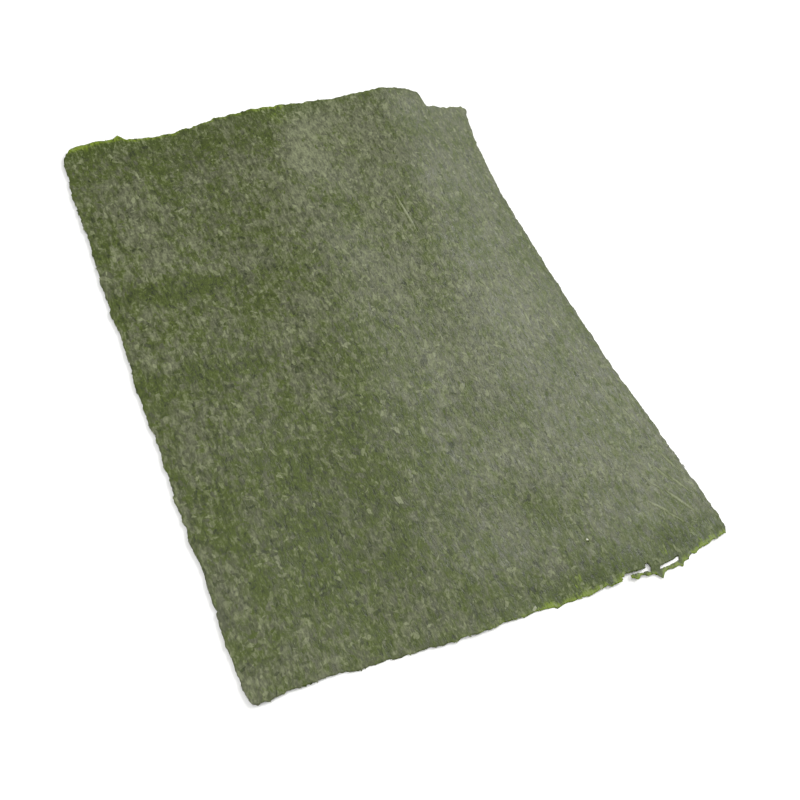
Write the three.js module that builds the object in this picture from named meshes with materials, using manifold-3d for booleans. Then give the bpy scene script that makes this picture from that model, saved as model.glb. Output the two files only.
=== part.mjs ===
// One sheet of nori: dried laver pressed into a thin leaf that has sprung into a low arch.
// Millimetres, +Z up. X runs across the sheet, Y from its near edge to its far edge.
import * as THREE from 'three';
import { mergeVertices } from 'three/addons/utils/BufferGeometryUtils.js';
import Module from 'manifold-3d';

// The sheet as it is cut, a little out of square at the far right corner.
const sheetWidth = 180;
const sheetLength = 212;
const outOfSquare = 3.5;
const sheetThickness = 0.3;
const cornerRadius = 4;

// The far left corner is worn away further, along the far side and along the left side.
const wornAlongFar = 12;
const wornAlongLeft = 9;

// How it lies: an arch that grows from the near edge to the far edge, leaning to the right,
// with the far right corner lifted.
const archHeight = 16;
const archLean = 0.8;
const archGrowth = 1.2;
const cornerRise = 11;

// Ripples run the length of the sheet and are strongest at the far edge.
const rippleHeight = 1.6;
const rippleLength = 61;
const rippleShift = 3.6;
const rippleNearShare = 0.3;

// Press bands lie across the sheet, where it dried on its mat.
const bandHeight = 0.28;
const bandLength = 34;
const bandWander = 5;

// Each side bows outwards in its middle, more towards its second end where it leans,
// and swells here and there. Places are measured along the side, anticlockwise from above.
const nearSide = {
  bow: 2.7,
  lean: 0.9,
  swells: [{ at: 22, reach: -1.6, halfWidth: 13 }, { at: 150, reach: 2.2, halfWidth: 14 }],
};
const rightSide = {
  bow: -5,
  lean: 1.3,
  swells: [{ at: 186, reach: -2.4, halfWidth: 28 }, { at: 116, reach: 0.8, halfWidth: 18 }],
};
const farSide = { bow: 0, lean: 0, swells: [] };
const leftSide = { bow: 1, lean: 0, swells: [] };

// The edge is ragged: it falls short of the cut line by these amounts.
const edgeStep = 2.4;
const cornerSteps = 6;
const edgeMargin = 0.9;
const raggedWaves = [
  { depth: 0.32, length: 41, shift: 0.8 },
  { depth: 0.2, length: 13.7, shift: 2.1 },
  { depth: 0.14, length: 6.3, shift: 4.4 },
];
const raggedScatter = 0.18;

// A bite is torn out of the far edge beside the right corner: deep at its left end, then fading.
const biteDepth = 6.6;
const biteStart = 58;
const biteEnd = 100;
const biteStepWidth = 1.6;

// A loose flake stands out of the far edge near the left corner.
const flakeCentre = -68;
const flakeHalfWidth = 2.6;
const flakeReach = 1.6;

// Tears behind a thin strand on the near edge, towards the right corner.
const slitBack = 3.3;
const slitFront = 1.9;
const closedSlit = { from: 55, to: 66, lean: 0.7 };
const openSlit = { from: 39, to: 52, lean: 0.5 };
const strandEnd = 41;
const pinhole = { x: 33, y: -92, radius: 0.6, sides: 8 };

// Mesh fineness and the tool solids that trim the slab.
const columns = 34;
const rows = 38;
const overhang = 3;
const toolHeight = 60;
const noriColor = 0x5f6848;

const halfWidth = sheetWidth / 2;
const halfLength = sheetLength / 2;
const fullTurn = 2 * Math.PI;

// Repeatable scatter between -1 and 1 for a whole number.
function scatter(index) {
  const raised = Math.sin(index * 12.9898 + 4.1414) * 43758.5453;
  return 2 * (raised - Math.floor(raised)) - 1;
}

function arch(across, along) {
  const far = (1 + along) / 2;
  const hump = (1 - across * across) * (1 + archLean * across);
  const corner = (far * (1 + across) / 2) ** 3;
  return archHeight * hump * far ** archGrowth + cornerRise * corner;
}

function ripple(x, across, along) {
  const far = ((1 + along) / 2) ** 2;
  const share = rippleNearShare + (1 - rippleNearShare) * far;
  const fade = 1 - across ** 4;
  return rippleHeight * share * fade * Math.sin(fullTurn * x / rippleLength + rippleShift);
}

function pressBand(x, y, across) {
  const wander = bandWander * Math.sin(fullTurn * x / 150);
  return bandHeight * (1 - across ** 6) * Math.sin(fullTurn * (y + wander) / bandLength);
}

// Height of the sheet's underside at a point.
function heightAt(x, y) {
  const across = THREE.MathUtils.clamp(x / halfWidth, -1, 1);
  const along = THREE.MathUtils.clamp(y / halfLength, -1, 1);
  return arch(across, along) + ripple(x, across, along) + pressBand(x, y, across);
}

function ragged(distance) {
  let inset = edgeMargin + raggedScatter * scatter(Math.round(distance * 10));
  for (const wave of raggedWaves) {
    inset += wave.depth * Math.sin(fullTurn * distance / wave.length + wave.shift);
  }
  return Math.max(inset, 0);
}

// How far the far edge is bitten away at x.
function bite(x) {
  if (x < biteStart - biteStepWidth) {
    return 0;
  }
  const step = Math.min((x - biteStart + biteStepWidth) / biteStepWidth, 1);
  const fade = 1 - (x - biteStart) / (biteEnd - biteStart);
  return biteDepth * step * Math.min(fade, 1);
}

// How far the loose flake stands out of the far edge at x.
function flake(x) {
  const peak = Math.max(1 - Math.abs(x - flakeCentre) / flakeHalfWidth, 0);
  return (flakeReach + edgeMargin) * peak;
}

// How far a side stands outwards of the straight line between its corners.
function outwardAt(side, distance, length) {
  const along = 2 * distance / length - 1;
  let outward = side.bow * (1 - along * along) * (1 + side.lean * along);
  for (const swell of side.swells) {
    outward += swell.reach * Math.exp(-(((distance - swell.at) / swell.halfWidth) ** 2));
  }
  return outward;
}

// One side, walked from its first corner to its second in even steps, clear of both corners
// by the lengths in clear.
function sidePoints(side, first, second, clear, phase, extraInset) {
  const length = first.distanceTo(second);
  const forward = second.clone().sub(first).normalize();
  const outward = new THREE.Vector2(forward.y, -forward.x);
  const walked = length - clear[0] - clear[1];
  const count = Math.round(walked / edgeStep);
  const points = [];
  for (let i = 0; i <= count; i += 1) {
    const distance = clear[0] + walked * i / count;
    const point = first.clone().addScaledVector(forward, distance);
    const inset = ragged(phase + distance) + extraInset(point);
    points.push(point.addScaledVector(outward, outwardAt(side, distance, length) - inset));
  }
  return points;
}

const nearLeft = new THREE.Vector2(-halfWidth, -halfLength);
const nearRight = new THREE.Vector2(halfWidth + outOfSquare, -halfLength);
const farRight = new THREE.Vector2(halfWidth - outOfSquare, halfLength + outOfSquare);
const farLeft = new THREE.Vector2(-halfWidth, halfLength - outOfSquare);

// The cut line round the sheet, anticlockwise from above, with its corners rounded off.
function outlinePoints() {
  const plain = () => 0;
  const farShape = (point) => bite(point.x) - flake(point.x);
  const round = [cornerRadius, cornerRadius];
  const sides = [
    sidePoints(nearSide, nearLeft, nearRight, round, 0, plain),
    sidePoints(rightSide, nearRight, farRight, round, 300, plain),
    sidePoints(farSide, farRight, farLeft, [cornerRadius, wornAlongFar], 600, farShape),
    sidePoints(leftSide, farLeft, nearLeft, [wornAlongLeft, cornerRadius], 900, plain),
  ];
  const bitten = farRight.clone().sub(new THREE.Vector2(0, bite(farRight.x)));
  const corners = [nearRight, bitten, farLeft, nearLeft];
  const points = [];
  sides.forEach((side, index) => {
    const next = sides[(index + 1) % sides.length];
    const curve = new THREE.QuadraticBezierCurve(side[side.length - 1], corners[index], next[0]);
    points.push(...side, ...curve.getPoints(cornerSteps).slice(1, -1));
  });
  return points;
}

// The near cut line at x, without its raggedness.
function nearLine(x) {
  return -halfLength - outwardAt(nearSide, x - nearLeft.x, nearRight.x - nearLeft.x);
}

// A slanting four-sided tear behind the strand, from one x to the other.
function slitPoints(slit) {
  const point = (x, depth) => new THREE.Vector2(x, nearLine(x) + depth);
  return [
    point(slit.from, slitFront),
    point(slit.to - slit.lean, slitFront),
    point(slit.to, slitBack + slit.lean),
    point(slit.from + 2 * slit.lean, slitBack),
  ];
}

// The open tear also parts the strand from the edge at its free end.
function strandGapPoints() {
  const point = (x, depth) => new THREE.Vector2(x, nearLine(x) + depth);
  return [
    point(openSlit.from - 2, -overhang),
    point(strandEnd, -overhang),
    point(strandEnd + 1.2, slitFront + 0.1),
    point(openSlit.from - 0.5, slitFront + 0.4),
  ];
}

function pinholePoints() {
  const points = [];
  for (let i = 0; i < pinhole.sides; i += 1) {
    const angle = fullTurn * i / pinhole.sides;
    points.push(new THREE.Vector2(
      pinhole.x + pinhole.radius * Math.cos(angle),
      pinhole.y + pinhole.radius * Math.sin(angle),
    ));
  }
  return points;
}

// The wavy slab, slightly larger than the sheet, with the same triangles on both faces.
function slabGeometry() {
  const slabWidth = sheetWidth + 2 * (outOfSquare + overhang);
  const slabLength = sheetLength + 2 * (outOfSquare + overhang);
  const positions = [];
  const triangles = [];
  const layerSize = (columns + 1) * (rows + 1);
  const corner = (column, row, layer) => layer * layerSize + row * (columns + 1) + column;
  for (let layer = 0; layer < 2; layer += 1) {
    for (let row = 0; row <= rows; row += 1) {
      for (let column = 0; column <= columns; column += 1) {
        const x = (column / columns - 0.5) * slabWidth;
        const y = (row / rows - 0.5) * slabLength;
        positions.push(x, y, heightAt(x, y) + layer * sheetThickness);
      }
    }
  }
  const quad = (a, b, c, d) => triangles.push(a, b, c, a, c, d);
  for (let row = 0; row < rows; row += 1) {
    for (let column = 0; column < columns; column += 1) {
      const [a, b, c, d] = [[0, 0], [1, 0], [1, 1], [0, 1]].map((step) => [column + step[0], row + step[1]]);
      quad(corner(...a, 1), corner(...b, 1), corner(...c, 1), corner(...d, 1));
      triangles.push(corner(...a, 0), corner(...c, 0), corner(...b, 0));
      triangles.push(corner(...a, 0), corner(...d, 0), corner(...c, 0));
    }
  }
  for (let column = 0; column < columns; column += 1) {
    quad(corner(column, 0, 0), corner(column + 1, 0, 0), corner(column + 1, 0, 1), corner(column, 0, 1));
    quad(corner(column + 1, rows, 0), corner(column, rows, 0), corner(column, rows, 1), corner(column + 1, rows, 1));
  }
  for (let row = 0; row < rows; row += 1) {
    quad(corner(0, row + 1, 0), corner(0, row, 0), corner(0, row, 1), corner(0, row + 1, 1));
    quad(corner(columns, row, 0), corner(columns, row + 1, 0), corner(columns, row + 1, 1), corner(columns, row, 1));
  }
  const geometry = new THREE.BufferGeometry();
  geometry.setAttribute('position', new THREE.Float32BufferAttribute(positions, 3));
  geometry.setIndex(triangles);
  return geometry;
}

// An upright prism over an outline, tall enough to pass right through the slab.
function prismGeometry(points) {
  const shape = new THREE.Shape(points);
  const geometry = new THREE.ExtrudeGeometry(shape, { depth: toolHeight, bevelEnabled: false });
  geometry.translate(0, 0, -toolHeight / 4);
  return geometry;
}

const wasm = await Module();
wasm.setup();

function toSolid(geometry) {
  geometry.deleteAttribute('normal');
  geometry.deleteAttribute('uv');
  const merged = mergeVertices(geometry);
  return new wasm.Manifold(new wasm.Mesh({
    numProp: 3,
    vertProperties: new Float32Array(merged.attributes.position.array),
    triVerts: new Uint32Array(merged.index.array),
  }));
}

function toGeometry(solid) {
  const mesh = solid.getMesh();
  const geometry = new THREE.BufferGeometry();
  geometry.setAttribute('position', new THREE.BufferAttribute(new Float32Array(mesh.vertProperties), 3));
  geometry.setIndex(new THREE.BufferAttribute(new Uint32Array(mesh.triVerts), 1));
  return geometry;
}

function makeSheet() {
  let sheet = toSolid(slabGeometry()).intersect(toSolid(prismGeometry(outlinePoints())));
  const tears = [
    slitPoints(closedSlit),
    slitPoints(openSlit),
    strandGapPoints(),
    pinholePoints(),
  ];
  for (const tear of tears) {
    sheet = sheet.subtract(toSolid(prismGeometry(tear)));
  }
  const geometry = toGeometry(sheet);
  geometry.computeBoundingBox();
  const { min, max } = geometry.boundingBox;
  geometry.translate(-(min.x + max.x) / 2, -(min.y + max.y) / 2, -min.z);
  geometry.computeVertexNormals();
  return geometry;
}

const noriMaterial = new THREE.MeshStandardMaterial({
  color: noriColor,
  roughness: 0.55,
  metalness: 0,
  side: THREE.DoubleSide,
});

const noriSheet = new THREE.Mesh(makeSheet(), noriMaterial);
noriSheet.name = 'nori_sheet';

const part = new THREE.Group();
part.add(noriSheet);

export default part;
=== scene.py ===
import math

import bmesh
import bpy
import numpy as np
from mathutils import Matrix, Vector, noise


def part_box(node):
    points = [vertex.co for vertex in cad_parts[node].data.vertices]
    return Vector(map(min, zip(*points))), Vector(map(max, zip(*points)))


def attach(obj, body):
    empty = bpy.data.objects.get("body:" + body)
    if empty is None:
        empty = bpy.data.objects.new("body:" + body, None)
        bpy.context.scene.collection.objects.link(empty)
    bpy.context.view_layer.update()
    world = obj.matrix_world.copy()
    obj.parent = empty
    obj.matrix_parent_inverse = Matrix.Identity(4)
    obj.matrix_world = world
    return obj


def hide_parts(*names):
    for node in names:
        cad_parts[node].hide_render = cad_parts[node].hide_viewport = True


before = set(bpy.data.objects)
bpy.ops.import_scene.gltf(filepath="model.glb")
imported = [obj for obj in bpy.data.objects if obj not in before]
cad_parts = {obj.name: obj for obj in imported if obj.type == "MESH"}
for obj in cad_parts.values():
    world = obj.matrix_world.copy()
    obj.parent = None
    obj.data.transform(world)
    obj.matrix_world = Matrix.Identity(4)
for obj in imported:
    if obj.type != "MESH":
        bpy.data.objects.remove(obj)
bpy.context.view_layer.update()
sheetLow, sheetHigh = (np.array(corner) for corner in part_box("nori_sheet"))
mm = 0.001
fullTurn = 2 * math.pi
print("frame loaded, the sheet is", np.round((sheetHigh - sheetLow) / mm, 1), "mm")


def addObject(name, data):
    thing = bpy.data.objects.new(name, data)
    bpy.context.scene.collection.objects.link(thing)
    return thing


def addAttribute(mesh, name, values):
    layer = mesh.attributes.new(name, "FLOAT", "POINT")
    layer.data.foreach_set("value", values)


def readPoints(thing):
    flat = np.empty(len(thing.data.vertices) * 3)
    thing.data.vertices.foreach_get("co", flat)
    return flat.reshape(-1, 3)


def writePoints(thing, points):
    thing.data.vertices.foreach_set("co", np.asarray(points, dtype=np.float64).ravel())
    thing.data.update()


# the camera stands over the near left corner, with the sheet's far edge at the top of the picture
view = {
    "place": (-150.1, -145.8, 221.1),  # mm, from the middle of the sheet on the floor
    "aim": (-13.6, -28.1, 8.7),
    "roll": 30.1,                      # degrees
    "lens": 38.25, "sensor": 36,       # mm
    "clip": (0.01, 20),                # metres
}


def addCamera(values):
    data = bpy.data.cameras.new("camera")
    data.lens, data.sensor_width = values["lens"], values["sensor"]
    data.clip_start, data.clip_end = values["clip"]
    camera = addObject("camera", data)
    place, aim = Vector(values["place"]) * mm, Vector(values["aim"]) * mm
    turn = (aim - place).to_track_quat("-Z", "Y").to_matrix()
    roll = Matrix.Rotation(math.radians(values["roll"]), 3, "Z")
    camera.rotation_mode = "QUATERNION"
    camera.rotation_quaternion = (turn @ roll).to_quaternion()
    camera.location = place
    bpy.context.scene.camera = camera


addCamera(view)
print("camera placed")


# the sheet's outline, in mm: the solid's cut line, with a finer grain and small teeth
outline = {
    "width": 180, "length": 212, "outOfSquare": 3.5, "margin": 0.9,
    "waves": [(0.32, 41, 0.8), (0.2, 13.7, 2.1), (0.14, 6.3, 4.4)],  # depth, length, shift
    "grain": [(0.34, 2.3), (0.26, 0.9)],                            # depth, size
    # swells: place along the side, reach outward, half width
    # corners: the first and the last, each rounded over a length of this side and of its neighbour
    "near": {
        "bow": 2.7, "lean": 0.9, "swells": [(22, -1.6, 13), (150, 2.2, 14)], "seed": 0,
        "corners": [(4, 4), (4, 4)],
    },
    "right": {
        "bow": -5, "lean": 1.3, "swells": [(186, -2.4, 28), (116, 0.8, 18)], "seed": 300,
        "corners": [(4, 4), (4, 4)],
    },
    "far": {"bow": 0, "lean": 0, "swells": [], "seed": 600, "corners": [(4, 4), (12, 9)]},
    "left": {"bow": 1, "lean": 0, "swells": [], "seed": 900, "corners": [(9, 12), (4, 4)]},
    "cornerBlunt": 0.25,  # share of the rounding that is cut off square at its tip
    # x, reach outward, half width
    "nearTeeth": [(33.2, 0.9, 1.3), (44.6, 1.3, 1.5), (54.6, 1.5, 1.9), (65.4, 1.1, 1.4), (74, 0.7, 1.6)],
    "biteDepth": 6.6, "biteStart": 58, "biteEnd": 100, "biteStepWidth": 1.6,
    "flakeCentre": -68, "flakeHalfWidth": 2.6, "flakeReach": 1.6,
}
halfX, halfY = outline["width"] / 2, outline["length"] / 2
skew = outline["outOfSquare"]
nearLength, farLength = 2 * halfX + skew, 2 * halfX - skew
rightLength, leftLength = 2 * halfY + skew, 2 * halfY - skew


def sideBow(key, distance, length):
    side = outline[key]
    along = 2 * distance / length - 1
    outward = side["bow"] * (1 - along ** 2) * (1 + side["lean"] * along)
    for at, reach, halfWidth in side["swells"]:
        outward = outward + reach * np.exp(-((distance - at) / halfWidth) ** 2)
    return outward


def cornerInset(distance, own, other):
    share = np.clip(distance, own * outline["cornerBlunt"], own) / own
    return other * (1 - np.sqrt(share)) ** 2


def cutLine(key, distance, length):
    seed = outline[key]["seed"]
    start, end = outline[key]["corners"]
    outward = sideBow(key, distance, length)
    outward = outward - cornerInset(distance, *start) - cornerInset(length - distance, *end)
    inset = outline["margin"]
    for depth, wave, shift in outline["waves"]:
        inset = inset + depth * np.sin(fullTurn * (distance + seed) / wave + shift)
    for depth, size in outline["grain"]:
        inset = inset + depth * np.array([noise.noise((d / size, seed, size)) for d in distance])
    return outward, inset


def nearLine(x):
    outward, inset = cutLine("near", x + halfX, nearLength)
    for tooth, reach, halfWidth in outline["nearTeeth"]:
        outward = outward + reach * np.clip(1 - np.abs(x - tooth) / halfWidth, 0, 1)
    return -halfY - outward + np.maximum(inset, 0)


def farLine(x):
    outward, inset = cutLine("far", halfX - skew - x, farLength)
    start, width = outline["biteStart"], outline["biteStepWidth"]
    step = np.clip((x - start + width) / width, 0, 1)
    fade = np.clip(1 - (x - start) / (outline["biteEnd"] - start), 0, 1)
    peak = np.clip(1 - np.abs(x - outline["flakeCentre"]) / outline["flakeHalfWidth"], 0, 1)
    bitten = outline["biteDepth"] * step * fade - (outline["flakeReach"] + outline["margin"]) * peak
    slant = skew * (2 * (x + halfX) / farLength - 1)
    return halfY + slant + outward - np.maximum(inset, 0) - bitten


def rightLine(y):
    outward, inset = cutLine("right", y + halfY, rightLength)
    return halfX + skew - 2 * skew * (y + halfY) / rightLength + outward - np.maximum(inset, 0)


def leftLine(y):
    outward, inset = cutLine("left", halfY - skew - y, leftLength)
    return -halfX - outward + np.maximum(inset, 0)


# edges and relief are looked up in tables that run a little past the sheet, in mm
tables = {
    "edgeStep": 0.25, "reliefStep": 0.5, "past": 8, "pastLeft": 4,
    "lastCell": 1.001,  # cells, keeps the last point of a table inside a cell
}


def tableSteps(step):
    across = np.arange(-halfX - tables["pastLeft"], halfX + tables["past"], step)
    along = np.arange(-halfY - tables["past"], halfY + tables["past"], step)
    return across, along


tableX, tableY = tableSteps(tables["edgeStep"])
lines = {
    "near": nearLine(np.clip(tableX, -halfX, halfX + skew)),
    "far": farLine(np.clip(tableX, -halfX, halfX - skew)),
    "left": leftLine(np.clip(tableY, -halfY, halfY - skew)),
    "right": rightLine(np.clip(tableY, -halfY, halfY + skew)),
}


def edgeRooms(x, y):
    return {
        "near": y - np.interp(x, tableX, lines["near"]),
        "far": np.interp(x, tableX, lines["far"]) - y,
        "left": x - np.interp(y, tableY, lines["left"]),
        "right": np.interp(y, tableY, lines["right"]) - x,
    }


# tears behind the strand on the near edge and the gap at its free end, in mm: x, and the way in from
# the edge as it would be without corners and grain. The pinhole is in plain x and y
tears = {
    "closed": [(55, 2.0), (65.3, 2.0), (66, 3.5), (56.4, 3.0)],
    "open": [(39, 2.1), (51.5, 2.0), (52, 4.2), (50.8, 5.2), (49.2, 3.2), (40, 2.9)],
    "gap": [(37, -4), (41, -4), (42.2, 2.0), (38.5, 2.4)],
}
pinhole = {"x": 33, "y": -92, "radius": 0.55}


def smoothNearLine(x):
    return -halfY - sideBow("near", x + halfX, nearLength)


def torn(x, y):
    depth = y - smoothNearLine(x)
    hole = np.hypot(x - pinhole["x"], y - pinhole["y"]) < pinhole["radius"]
    for corners in tears.values():
        inside = np.zeros(np.shape(x), dtype=bool)
        for (ax, ay), (bx, by) in zip(corners, corners[1:] + corners[:1]):
            if ay != by:
                inside ^= ((ay > depth) != (by > depth)) & (x < (bx - ax) * (depth - ay) / (by - ay) + ax)
        hole = hole | inside
    return hole


# how the sheet lies, in mm: arch, lifted corner, ripples and press bands as in the solid, and fine
# relief on top of them. Growth and fade are powers
bend = {
    "archHeight": 16, "archLean": 0.8, "archGrowth": 1.2, "cornerRise": 11, "cornerGrowth": 3,
    "rippleHeight": 1.6, "rippleLength": 61, "rippleShift": 3.6,
    "rippleNearShare": 0.3, "rippleGrowth": 2, "rippleFade": 4,
    "bandHeight": 0.28, "bandLength": 34, "bandWander": 5, "wanderLength": 150, "bandFade": 6,
    "lumpHeight": 0.22, "lumpSize": 11, "lumpSeed": 3.1,
    "puckerHeight": 0.05, "puckerSize": 4, "puckerSeed": 5.5,
    "fibreHeight": 0.04, "fibreWidth": 1.1, "fibreLength": 4.5, "fibreSeed": 0.4,
    "fibreSway": 1.6, "swaySize": 14, "swaySeed": 8.7,
}


def smoothHeight(x, y):
    across, along = np.clip(x / halfX, -1, 1), np.clip(y / halfY, -1, 1)
    far = (1 + along) / 2
    hump = (1 - across ** 2) * (1 + bend["archLean"] * across) * far ** bend["archGrowth"]
    corner = (far * (1 + across) / 2) ** bend["cornerGrowth"]
    share = bend["rippleNearShare"] + (1 - bend["rippleNearShare"]) * far ** bend["rippleGrowth"]
    swing = np.sin(fullTurn * x / bend["rippleLength"] + bend["rippleShift"])
    ripple = share * (1 - across ** bend["rippleFade"]) * swing
    wander = bend["bandWander"] * np.sin(fullTurn * x / bend["wanderLength"])
    band = (1 - across ** bend["bandFade"]) * np.sin(fullTurn * (y + wander) / bend["bandLength"])
    return (bend["archHeight"] * hump + bend["cornerRise"] * corner
            + bend["rippleHeight"] * ripple + bend["bandHeight"] * band)


def roundNoise(name, x, y):
    size = bend[name + "Size"]
    return noise.noise((x / size, y / size, bend[name + "Seed"]))


def fineRelief(x, y):
    lump = roundNoise("lump", x, y)
    pucker = 1 - 2 * abs(roundNoise("pucker", x, y))
    sway = bend["fibreSway"] * roundNoise("sway", x, y)
    fibre = noise.noise(((x + sway) / bend["fibreWidth"], y / bend["fibreLength"], bend["fibreSeed"]))
    return bend["lumpHeight"] * lump + bend["puckerHeight"] * pucker + bend["fibreHeight"] * fibre


reliefX, reliefY = tableSteps(tables["reliefStep"])
reliefTable = np.array([[fineRelief(x, y) for x in reliefX] for y in reliefY])


def cellAndShare(value, steps):
    place = np.clip((value - steps[0]) / tables["reliefStep"], 0, len(steps) - tables["lastCell"])
    cell = place.astype(int)
    return cell, place - cell


def sheetHeight(x, y):
    i, u = cellAndShare(x, reliefX)
    j, v = cellAndShare(y, reliefY)
    table = reliefTable
    relief = ((table[j, i] * (1 - u) + table[j, i + 1] * u) * (1 - v)
              + (table[j + 1, i] * (1 - u) + table[j + 1, i + 1] * u) * v)
    return smoothHeight(x, y) + relief


# the leaf, in mm, is split finer along its edges and round the pinhole and the tears
leaf = {
    "thickness": 0.26, "columns": 160, "rows": 186, "fineCuts": 2, "fitRounds": 5,
    # from and to, in shares of the width and then of the length
    "fineZones": [(0, 1, 0, 0.01), (0, 1, 0.99, 1), (0, 0.012, 0, 1), (0.988, 1, 0, 1),
                  (0.68, 0.88, 0, 0.035), (0.655, 0.69, 0.055, 0.09)],
}


def selectFaces(thing, wanted):
    bpy.ops.mesh.select_mode(type="FACE")
    bpy.ops.mesh.select_all(action="DESELECT")
    mesh = bmesh.from_edit_mesh(thing.data)
    middles = np.array([face.calc_center_median()[:2] for face in mesh.faces])
    for face, chosen in zip(mesh.faces, wanted(middles[:, 0], middles[:, 1])):
        face.select_set(bool(chosen))
    mesh.select_flush_mode()
    bmesh.update_edit_mesh(thing.data)


def inZones(x, y):
    chosen = np.zeros(len(x), dtype=bool)
    u, v = (x + 1) / 2, (y + 1) / 2
    for u0, u1, v0, v1 in leaf["fineZones"]:
        chosen |= (u0 < u) & (u < u1) & (v0 < v) & (v < v1)
    return chosen


def fitToOutline(points):
    u, v = (points[:, 0] + 1) / 2, (points[:, 1] + 1) / 2
    y = -halfY + v * (2 * halfY + skew * (2 * u - 1))
    for again in range(leaf["fitRounds"]):
        left, right = np.interp(y, tableY, lines["left"]), np.interp(y, tableY, lines["right"])
        x = left + u * (right - left)
        low, high = np.interp(x, tableX, lines["near"]), np.interp(x, tableX, lines["far"])
        y = low + v * (high - low)
    return np.stack([x, y, points[:, 2]], axis=1)


def makeLeaf(values):
    bpy.ops.object.select_all(action="DESELECT")
    # size 2 runs from -1 to 1, which inZones and fitToOutline expect
    bpy.ops.mesh.primitive_grid_add(x_subdivisions=values["columns"], y_subdivisions=values["rows"], size=2)
    thing = bpy.context.object
    thing.name = thing.data.name = "laver_leaf"
    bpy.ops.object.mode_set(mode="EDIT")
    selectFaces(thing, inZones)
    bpy.ops.mesh.subdivide(number_cuts=values["fineCuts"])
    bpy.ops.object.mode_set(mode="OBJECT")
    writePoints(thing, fitToOutline(readPoints(thing)))
    bpy.ops.object.mode_set(mode="EDIT")
    selectFaces(thing, torn)
    bpy.ops.mesh.delete(type="FACE")
    bpy.ops.object.mode_set(mode="OBJECT")
    points = readPoints(thing)
    points[:, 2] = sheetHeight(points[:, 0], points[:, 1])
    writePoints(thing, points)
    wall = thing.modifiers.new("wall", "SOLIDIFY")
    wall.thickness, wall.offset = values["thickness"], 0
    bpy.ops.object.modifier_apply(modifier="wall")
    bpy.ops.object.shade_smooth()
    return thing


noriLeaf = makeLeaf(leaf)
print("leaf made,", len(noriLeaf.data.polygons), "faces")


# the shreds of laver that the sheet is pressed from, each a flat lens lying in the surface: lengths,
# and crowns and rims above the leaf, in mm, and slimness as width over length
shreds = {
    "broad": {
        "count": 12500, "length": (2.1, 4.8), "slimness": (0.3, 0.6), "corners": 7, "seed": 41,
        "crown": (0.015, 0.04), "rim": (-0.02, 0.004),
    },
    "fine": {
        "count": 15500, "length": (1.2, 3.4), "slimness": (0.2, 0.45), "corners": 6, "seed": 42,
        "crown": (0.02, 0.05), "rim": (-0.02, 0.008),
    },
    "under": {
        "count": 9000, "length": (2.0, 5.5), "slimness": (0.25, 0.55), "corners": 7, "seed": 43,
        "crown": (0.015, 0.04), "rim": (-0.02, 0.004),
    },
}
lay = {
    "turn": 90, "scatter": 42,      # degrees from the X axis
    "stray": 0.3,                   # share that lies any way
    "uneven": 0.22, "jitter": 0.25, "curl": 0.2,
    "root": -0.12,                  # mm, the underside's lowest point
    "overhang": 0.5, "past": 8,     # mm over the edge, and how far the shreds are strewn past it
}


def layShreds(values, draw):
    columns = round(math.sqrt(values["count"] * halfX / halfY))
    rows = round(values["count"] / columns)
    column, row = np.meshgrid(np.arange(columns), np.arange(rows))
    count = column.size
    x = ((column.ravel() + draw.random(count)) / columns - 0.5) * (2 * halfX + lay["past"])
    y = ((row.ravel() + draw.random(count)) / rows - 0.5) * (2 * halfY + lay["past"])
    half = draw.uniform(*values["length"], count) / 2
    slim = half * draw.uniform(*values["slimness"], count)
    turn = np.radians(draw.normal(lay["turn"], lay["scatter"], count))
    stray = draw.random(count) < lay["stray"]
    turn[stray] = draw.uniform(0, math.pi, stray.sum())
    corners = values["corners"]
    jitter = draw.uniform(-lay["jitter"], lay["jitter"], (count, corners))
    angle = fullTurn * (np.arange(corners) + jitter) / corners
    radius = 1 + draw.uniform(-1, 1, (count, corners)) * lay["uneven"]
    curl = draw.uniform(-lay["curl"], lay["curl"], (count, 1))
    u = half[:, None] * radius * np.cos(angle)
    v = slim[:, None] * radius * np.sin(angle) + curl * u * u / half[:, None]
    ringX = x[:, None] + u * np.cos(turn)[:, None] - v * np.sin(turn)[:, None]
    ringY = y[:, None] + u * np.sin(turn)[:, None] + v * np.cos(turn)[:, None]
    rim = draw.uniform(*values["rim"], (count, corners))
    crown = draw.uniform(*values["crown"], count)
    lift = np.column_stack([rim, crown, np.full(count, lay["root"])])
    return np.column_stack([ringX, x, x]), np.column_stack([ringY, y, y]), lift


# each shred's points are its ring, its crown and its root
def shredFaces(corners, count, side):
    ring = np.arange(corners)
    after = (ring + 1) % corners
    top = np.stack([ring, after, np.full(corners, corners)], axis=1)
    bottom = np.stack([after, ring, np.full(corners, corners + 1)], axis=1)
    pattern = np.vstack([top, bottom])[:, ::side]
    return (pattern[None] + (corners + 2) * np.arange(count)[:, None, None]).reshape(-1, 3)


def sharpenRims(mesh, corners):
    ends = np.empty(len(mesh.edges) * 2, dtype=np.int32)
    mesh.edges.foreach_get("vertices", ends)
    onRing = (ends.reshape(-1, 2) % (corners + 2) < corners).all(axis=1)
    mesh.edges.foreach_set("use_edge_sharp", onRing)


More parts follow.
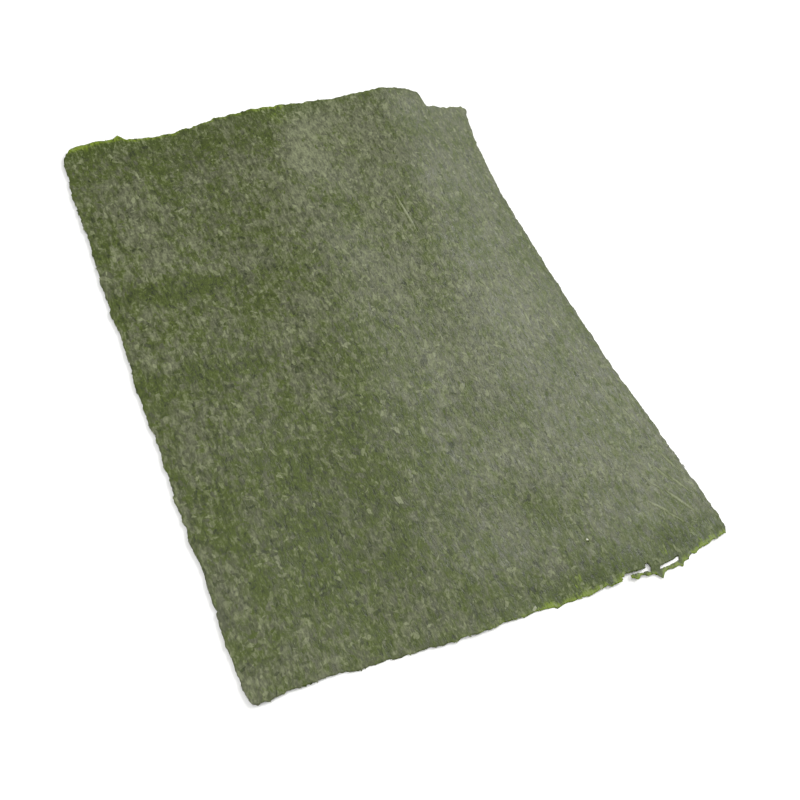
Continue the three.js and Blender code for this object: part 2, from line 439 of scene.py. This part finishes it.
def makeShreds(name, values, side):
    draw = np.random.default_rng(values["seed"])
    x, y, lift = layShreds(values, draw)
    room = np.min(list(edgeRooms(x, y).values()), axis=(0, 2))
    keep = (room > -lay["overhang"]) & ~torn(x, y).any(axis=1)
    x, y, lift = x[keep], y[keep], lift[keep]
    height = sheetHeight(x, y) + side * (leaf["thickness"] / 2 + lift)
    points = np.stack([x, y, height], axis=2).reshape(-1, 3)
    corners = values["corners"]
    faces = shredFaces(corners, keep.sum(), side)
    mesh = bpy.data.meshes.new(name)
    mesh.from_pydata(points.tolist(), [], faces.tolist())
    mesh.polygons.foreach_set("use_smooth", np.ones(len(faces), dtype=bool))
    sharpenRims(mesh, corners)
    for label in ("toneAndPaintedLight", "tint"):
        drawn = draw.normal(0, 1, len(keep))[keep]
        addAttribute(mesh, label, np.repeat(drawn, corners + 2))
    return addObject(name, mesh)


broadShreds = makeShreds("laver_shreds_broad", shreds["broad"], 1)
fineShreds = makeShreds("laver_shreds_fine", shreds["fine"], 1)
underShreds = makeShreds("laver_shreds_under", shreds["under"], -1)
for shredPiece in (broadShreds, fineShreds, underShreds):
    print(shredPiece.name, "made,", len(shredPiece.data.polygons), "faces")


# creases are low closed ridges, in mm, with a painted highlight on the crest and painted shade at one foot
creases = {
    # middle x and y, half length, degrees from the Y axis, half width, height, painted highlight of the
    # crest (below nought it is painted shade)
    "places": [
        (24.8, 46.8, 10.5, 4, 0.8, 0.13, 5.0),
        (56.5, -5.4, 3.8, 1, 0.7, 0.11, 5.0),
        (69.8, -8.6, 4.2, 15, 0.7, 0.11, 5.0),
        (64.6, -7.0, 3.0, 8, 0.5, 0.07, 3.0),
        (79.8, -89.0, 7.0, 34, 0.95, 0.13, 4.5),
        (73.6, -93.8, 4.5, 44, 0.7, 0.09, 3.5),
        (69.3, -88.5, 5.0, 46, 0.9, 0.12, 4.5),
        (84.5, -83.0, 6.0, 30, 0.8, 0.1, 4.0),
        (86.3, -74.0, 6.0, 24, 0.7, 0.08, 3.5),
        (79.5, -77.0, 5.5, 30, 0.7, 0.09, 3.5),
        (73.0, -80.5, 4.5, 38, 0.65, 0.08, 3.0),
        (66.0, 24.0, 5.0, 12, 0.6, 0.08, 3.0),
        (71.5, 12.0, 4.0, 14, 0.55, 0.07, 3.0),
        (75.0, -38.0, 5.5, 14, 0.65, 0.08, 3.5),
        (80.0, -52.0, 6.0, 18, 0.65, 0.08, 3.5),
        (66.0, -46.0, 4.5, 16, 0.55, 0.07, 3.0),
        (10.6, -30.1, 1.8, 70, 0.5, 0.02, -4.0),  # this one is a dark nick, and the next is painted shadow beside the first crease
        (27.8, 47.5, 2.4, -4, 0.8, 0.02, -4.0),
    ],
    "highlightSpeck": (33.0, -91.8, 0.75, 60, 0.6, 0.14, 9.0),  # a painted highlight: a white speck beside the pinhole
    "rings": 13, "ends": 0.97,  # the rings run to this share of the half length
    "foot": 0.06, "crest": 0.07, "depth": -0.05, "farFoot": 1.3, "footShade": -1.5,
    "seat": 0.25,  # share of the leaf's thickness
}


def makeCreases(values):
    points, faces, toneAndPaintedLights = [], [], []
    rings, sides = values["rings"], 4
    share = np.linspace(-values["ends"], values["ends"], rings)
    taper = 1 - share ** 2
    seat = leaf["thickness"] * values["seat"]
    for place in values["places"] + [values["highlightSpeck"]]:
        middleX, middleY, halfLength, angle, halfWidth, rise, crestHighlight = place
        c, s = math.cos(math.radians(angle)), math.sin(math.radians(angle))
        first = len(points)
        lie = sheetHeight(middleX - share * halfLength * s, middleY + share * halfLength * c)
        for k in range(rings):
            wide = halfWidth * math.sqrt(taper[k])
            crest = values["foot"] + values["crest"] + rise * taper[k]
            section = [(-1, values["foot"]), (0, crest),
                       (values["farFoot"], values["foot"]), (0, values["depth"])]
            for offset, lift in section:
                x = middleX - share[k] * halfLength * s + offset * wide * c
                y = middleY + share[k] * halfLength * c + offset * wide * s
                points.append((x, y, lie[k] + lift + seat))
            # painted highlight on the crest and painted shade at the far foot
            toneAndPaintedLights += [0.0, crestHighlight * taper[k], values["footShade"] * taper[k], 0.0]
        for k in range(rings - 1):
            for corner in range(sides):
                a, b = first + sides * k + corner, first + sides * k + (corner + 1) % sides
                faces.append((a, b, b + sides, a + sides))
        last = first + sides * (rings - 1)
        faces.append(tuple(range(first + sides - 1, first - 1, -1)))
        faces.append(tuple(range(last, last + sides)))
    mesh = bpy.data.meshes.new("laver_creases")
    mesh.from_pydata(points, [], faces)
    addAttribute(mesh, "toneAndPaintedLight", toneAndPaintedLights)
    thing = addObject("laver_creases", mesh)
    bpy.ops.object.select_all(action="DESELECT")
    bpy.context.view_layer.objects.active = thing
    bpy.ops.object.mode_set(mode="EDIT")
    bpy.ops.mesh.select_all(action="SELECT")
    bpy.ops.mesh.normals_make_consistent(inside=False)
    bpy.ops.object.mode_set(mode="OBJECT")
    return thing


creaseRidges = makeCreases(creases)
pieces = [noriLeaf, broadShreds, fineShreds, underShreds, creaseRidges]
print("creases made")


# painted glow of light through the thin edges, green washes, and paler or greener areas with painted sheen
# and painted shade among them, in mm, kept as attributes
tints = {
    # near and far: x and strength along that edge
    # rim: painted glow of light through the thin edges
    "rim": {
        "near": [(-90, 0.1), (-30, 0.4), (20, 0.8), (90, 1.05)],
        "far": [(-90, 1.15), (-55, 0.95), (-40, 0.6), (-12, 0.9), (0, 0.5), (60, 0.4), (90, 0.5)],
        "side": 0.12, "reach": 2.4,
    },
    "wash": {
        "near": [(-90, 0.0), (-20, 0.3), (25, 1.0), (60, 1.2), (90, 1.2)],
        "far": [(-90, 1.1), (-50, 0.6), (-30, 0.4), (-10, 1.0), (8, 0.6), (20, 0.3), (90, 0.15)],
        "side": 0.12, "reach": 12,
    },
    # x, y, radius across and along, strength: above nought is paler and greyer, below it is greener and
    # darker. Some are real paler or greener patches and press bands; the pale spots at (-78, -98), (-4,
    # 82), (51, -68) and (82, 78) are painted sheen, and the broad one at (-45, -62) is painted shade
    "worn": [
        (15, 30, 42, 62, 0.4), (-78, -98, 16, 11, 0.5), (-4, 82, 6, 15, 1.2), (2, 82, 22, 20, 0.6),
        (14, 98, 16, 9, 0.7), (51, -68, 15, 9, 0.6), (82, 78, 7, 24, 0.7),
        (78, -60, 10, 34, 0.5), (60, 5, 14, 22, 0.35), (-72, 56, 12, 9, 0.5), (10, -60, 30, 10, 0.2),
        (-68, 31, 30, 4, -1.3), (-70, 42, 22, 5, 0.5), (-62, -3, 34, 4, -1.0), (10, 36, 30, 3, -0.5),
        (-58, 90, 26, 8, -0.6), (-18, 92, 12, 8, -0.7),
        (24, -98, 26, 7, -0.5), (70, -101, 20, 6, -0.7), (-45, -62, 32, 28, -0.75),
    ],
    # x, y and radius of yellow-green patches; those on the edges are painted glow of light through the thin
    # laver, the one inside is a real yellow-green spot
    "limes": [(-68, 104.5, 2.6), (-80, 99, 5), (-9, 99, 6), (62, -103, 4), (22, -104, 5), (8, -106, 3),
              (40, -103, 4), (80, -101, 5), (-40, 36, 1.5)],
    "limeStrength": 0.45,
    # x, y and radius of the small green knots, whose ring and middle have a strength and a sharpness
    "knots": [(0.9, -1.3, 1.3), (1.7, -25.0, 1.2), (-34, 12, 0.9), (22, 66, 0.9)],
    "knotRing": (0.5, 4), "knotMiddle": (2.0, 2),
}


def edgeGlow(x, y, rooms, values):
    strength = {key: np.interp(x, *zip(*values[key])) for key in ("near", "far")}
    strength["left"] = strength["right"] = values["side"]
    glow = np.zeros(len(x))
    for key, room in rooms.items():
        glow = np.maximum(glow, strength[key] * np.clip(1 - room / values["reach"], 0, 1))
    return glow


def markTints(thing, values):
    points = readPoints(thing)
    x, y = points[:, 0], points[:, 1]
    rooms = edgeRooms(x, y)
    # rim is painted glow of light through the thin edges, plus the real green rings of the knots
    rim, wash = edgeGlow(x, y, rooms, values["rim"]), edgeGlow(x, y, rooms, values["wash"])
    # real paler or greener patches and press bands, with painted sheen in the pale spots and painted shade
    # at the lower left
    worn = np.zeros(len(points))
    for spotX, spotY, wide, deep, strength in values["worn"]:
        worn += strength * np.exp(-((x - spotX) / wide) ** 2 - ((y - spotY) / deep) ** 2)
    for spotX, spotY, radius in values["limes"]:
        away = (x - spotX) ** 2 + (y - spotY) ** 2
        rim += values["limeStrength"] * np.exp(-away / radius ** 2)
    ringStrength, ringSharpness = values["knotRing"]
    middleStrength, middleSharpness = values["knotMiddle"]
    for spotX, spotY, radius in values["knots"]:
        near = np.hypot(x - spotX, y - spotY) / radius
        rim += ringStrength * np.exp(-(near - 1) ** 2 * ringSharpness)
        worn -= middleStrength * np.exp(-near ** 2 * middleSharpness)
    addAttribute(thing.data, "rim", rim)
    addAttribute(thing.data, "wash", wash)
    addAttribute(thing.data, "worn", worn)


for piece in pieces:
    markTints(piece, tints)


# into place: metres, centred in the solid's box, lowest point on the floor
def settle(things):
    leafPoints = readPoints(things[0])
    lowest = min(readPoints(thing)[:, 2].min() for thing in things)
    middle = (leafPoints.min(0) + leafPoints.max(0)) / 2
    shift = (sheetLow + sheetHigh) / 2 / mm - middle
    shift[2] = sheetLow[2] / mm - lowest
    for thing in things:
        writePoints(thing, (readPoints(thing) + shift) * mm)
    print("settled, moved by", np.round(shift, 2), "mm")


settle(pieces)


# the finish of dried laver
finish = {
    "dark": (0.020, 0.027, 0.007), "green": (0.050, 0.070, 0.007), "grey": (0.071, 0.077, 0.041),
    # the yellow-green of the edges is painted glow of light through the thin laver, and also the colour of
    # a few real yellow-green spots
    "pale": (0.165, 0.182, 0.098), "washGreen": (0.034, 0.052, 0.001), "limeAndBacklitGlow": (0.125, 0.180, 0.006),
    # white of the painted highlight speck beside the pinhole
    "paintedHighlight": (0.55, 0.55, 0.50),
    # stretch, size in metres, detail
    "patterns": {
        "patches": ((1, 0.8, 1), 0.017, 3),
        "grain": ((1, 0.5, 1), 0.0026, 4),
        "streaks": ((1, 0.3, 1), 0.0011, 3),
        "specks": ((1, 0.6, 1), 0.0006, 2),
    },
    "patternRoughness": 0.6,
    # pattern or attribute, weight, middle that counts as nought
    # greyness and lightness carry the painted sheen and painted shade of the patches; lightness also
    # carries the painted highlights and shade of the creases
    "greyness": [("patches", 2.0, 0.5), ("grain", 2.0, 0.5), ("tint", 0.26, 0.0), ("worn", 0.35, 0.0)],
    "raggedness": [("streaks", 2.2, 0.25), ("grain", 2.2, 0.25), ("tint", 0.4, 0.0)],
    "light": [("streaks", 2.3, 0.5), ("specks", 1.5, 0.5), ("grain", 1.0, 0.5), ("patches", 0.6, 0.5),
              ("toneAndPaintedLight", 0.27, 0.0), ("worn", 0.28, 0.0)],
    # where each colour starts and where it is full
    "greyRange": (-0.5, 0.5), "washRange": (0.05, 0.75), "limeAndBacklitGlowRange": (0.25, 1.1),
    "paleRange": (0.0, 1.0), "darkRange": (0.0, -1.0), "paintedHighlightRange": (3.6, 8.5),
    "washShare": 0.9, "specular": 0.28,
    "streakRange": (0.35, 0.65), "roughness": (0.34, 0.68),
    "bump": 0.6, "bumpDistance": 0.00025,  # metres
}


def link(tree, source, target):
    tree.links.new(source, target)


def mathNode(tree, kind, first, second):
    node = tree.nodes.new("ShaderNodeMath")
    node.operation = kind
    for socket, value in zip(node.inputs, (first, second)):
        if isinstance(value, (int, float)):
            socket.default_value = value
        else:
            link(tree, value, socket)
    return node.outputs[0]


def weigh(tree, fields, terms):
    total = None
    for name, weight, middle in terms:
        term = mathNode(tree, "MULTIPLY", mathNode(tree, "SUBTRACT", fields[name], middle), weight)
        total = term if total is None else mathNode(tree, "ADD", total, term)
    return total


def patternNode(tree, vector, pattern, roughness):
    stretch, size, detail = pattern
    mapping = tree.nodes.new("ShaderNodeMapping")
    mapping.inputs["Scale"].default_value = stretch
    link(tree, vector, mapping.inputs["Vector"])
    node = tree.nodes.new("ShaderNodeTexNoise")
    node.inputs["Scale"].default_value = 1 / size
    node.inputs["Detail"].default_value = detail
    node.inputs["Roughness"].default_value = roughness
    link(tree, mapping.outputs[0], node.inputs["Vector"])
    return node.outputs["Fac"]


def mixColors(tree, share, first, second):
    node = tree.nodes.new("ShaderNodeMix")
    node.data_type = "RGBA"
    shareSocket, firstSocket, secondSocket = node.inputs[0], node.inputs[6], node.inputs[7]  # as RGBA
    for socket, value in ((shareSocket, share), (firstSocket, first), (secondSocket, second)):
        if isinstance(value, tuple):
            socket.default_value = (*value, 1)
        else:
            link(tree, value, socket)
    return node.outputs[2]


def spread(tree, value, limits, shape="SMOOTHSTEP", results=(0, 1)):
    node = tree.nodes.new("ShaderNodeMapRange")
    node.interpolation_type = shape
    node.inputs["From Min"].default_value, node.inputs["From Max"].default_value = limits
    node.inputs["To Min"].default_value, node.inputs["To Max"].default_value = results
    link(tree, value, node.inputs["Value"])
    return node.outputs[0]


def attributeNode(tree, name):
    node = tree.nodes.new("ShaderNodeAttribute")
    node.attribute_name = name
    return node.outputs["Fac"]


def laverColor(tree, values, fields):
    greyness = weigh(tree, fields, values["greyness"])
    body = mixColors(tree, spread(tree, greyness, values["greyRange"]), values["green"], values["grey"])
    mottled = mathNode(tree, "ADD", fields["patches"], fields["streaks"])
    washed = mathNode(tree, "MULTIPLY", fields["wash"], mottled)
    washed = mathNode(tree, "MULTIPLY", spread(tree, washed, values["washRange"]), values["washShare"])
    body = mixColors(tree, washed, body, values["washGreen"])
    # painted backlit glow along the ragged edges, with the real yellow-green spots and knot rings
    rimmed = mathNode(tree, "MULTIPLY", fields["rim"], weigh(tree, fields, values["raggedness"]))
    body = mixColors(tree, spread(tree, rimmed, values["limeAndBacklitGlowRange"]), body, values["limeAndBacklitGlow"])
    # lightness: mottle and per-shred lightness, the painted highlights and shade of the creases, and the
    # painted sheen and shade of the patches
    light = weigh(tree, fields, values["light"])
    body = mixColors(tree, spread(tree, light, values["paleRange"], "LINEAR"), body, values["pale"])
    body = mixColors(tree, spread(tree, light, values["darkRange"], "LINEAR"), body, values["dark"])
    # a painted highlight: the white speck beside the pinhole
    return mixColors(tree, spread(tree, fields["toneAndPaintedLight"], values["paintedHighlightRange"]), body, values["paintedHighlight"])


def driedLaver(values):
    material = bpy.data.materials.new("dried_laver")
    material.use_nodes = True
    tree = material.node_tree
    shader = tree.nodes["Principled BSDF"]
    place = tree.nodes.new("ShaderNodeTexCoord").outputs["Object"]
    fields = {name: attributeNode(tree, name) for name in ("toneAndPaintedLight", "tint", "rim", "wash", "worn")}
    for name, pattern in values["patterns"].items():
        fields[name] = patternNode(tree, place, pattern, values["patternRoughness"])
    link(tree, laverColor(tree, values, fields), shader.inputs["Base Color"])
    rough = spread(tree, fields["streaks"], values["streakRange"], "LINEAR", values["roughness"])
    link(tree, rough, shader.inputs["Roughness"])
    shader.inputs["Specular IOR Level"].default_value = values["specular"]
    bump = tree.nodes.new("ShaderNodeBump")
    bump.inputs["Strength"].default_value = values["bump"]
    bump.inputs["Distance"].default_value = values["bumpDistance"]
    link(tree, mathNode(tree, "ADD", fields["streaks"], fields["specks"]), bump.inputs["Height"])
    link(tree, bump.outputs[0], shader.inputs["Normal"])
    return material


laver = driedLaver(finish)
for piece in pieces:
    piece.data.materials.clear()
    piece.data.materials.append(laver)
    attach(piece, "root")
    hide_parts("nori_sheet")
print("finish laid on")


# a wide pale floor, in metres
stage = {"size": 16, "color": (0.8, 0.8, 0.79), "roughness": 0.6}


def addFloor(values):
    bpy.ops.object.select_all(action="DESELECT")
    bpy.ops.mesh.primitive_plane_add(size=values["size"])
    floor = bpy.context.object
    floor.name = "floor"
    material = bpy.data.materials.new("pale_floor")
    material.use_nodes = True
    shader = material.node_tree.nodes["Principled BSDF"]
    shader.inputs["Base Color"].default_value = (*values["color"], 1)
    shader.inputs["Roughness"].default_value = values["roughness"]
    floor.data.materials.append(material)


# square lamps that face the sheet, in metres and watts, and a soft white sky
lamps = {
    "sheen": {"place": (0.8, 0.22, 0.78), "size": 0.7, "power": 11},
    "key": {"place": (-0.55, 0.0, 1.05), "size": 0.8, "power": 8},
    "fill": {"place": (-0.9, -0.5, 0.7), "size": 1.0, "power": 4},
}
sky = {"color": (1, 1, 1), "strength": 0.45}


def addLamps(values):
    for name, lamp in values.items():
        data = bpy.data.lights.new(name, "AREA")
        data.size, data.energy = lamp["size"], lamp["power"]
        light = addObject(name, data)
        light.location = lamp["place"]
        light.rotation_euler = (-Vector(lamp["place"])).to_track_quat("-Z", "Y").to_euler()


def addSky(values):
    world = bpy.data.worlds.new("studio")
    world.use_nodes = True
    background = world.node_tree.nodes["Background"]
    background.inputs["Color"].default_value = (*values["color"], 1)
    background.inputs["Strength"].default_value = values["strength"]
    bpy.context.scene.world = world
    bpy.context.scene.view_settings.view_transform = "Standard"


addFloor(stage)
addLamps(lamps)
addSky(sky)
print("floor and lamps placed")
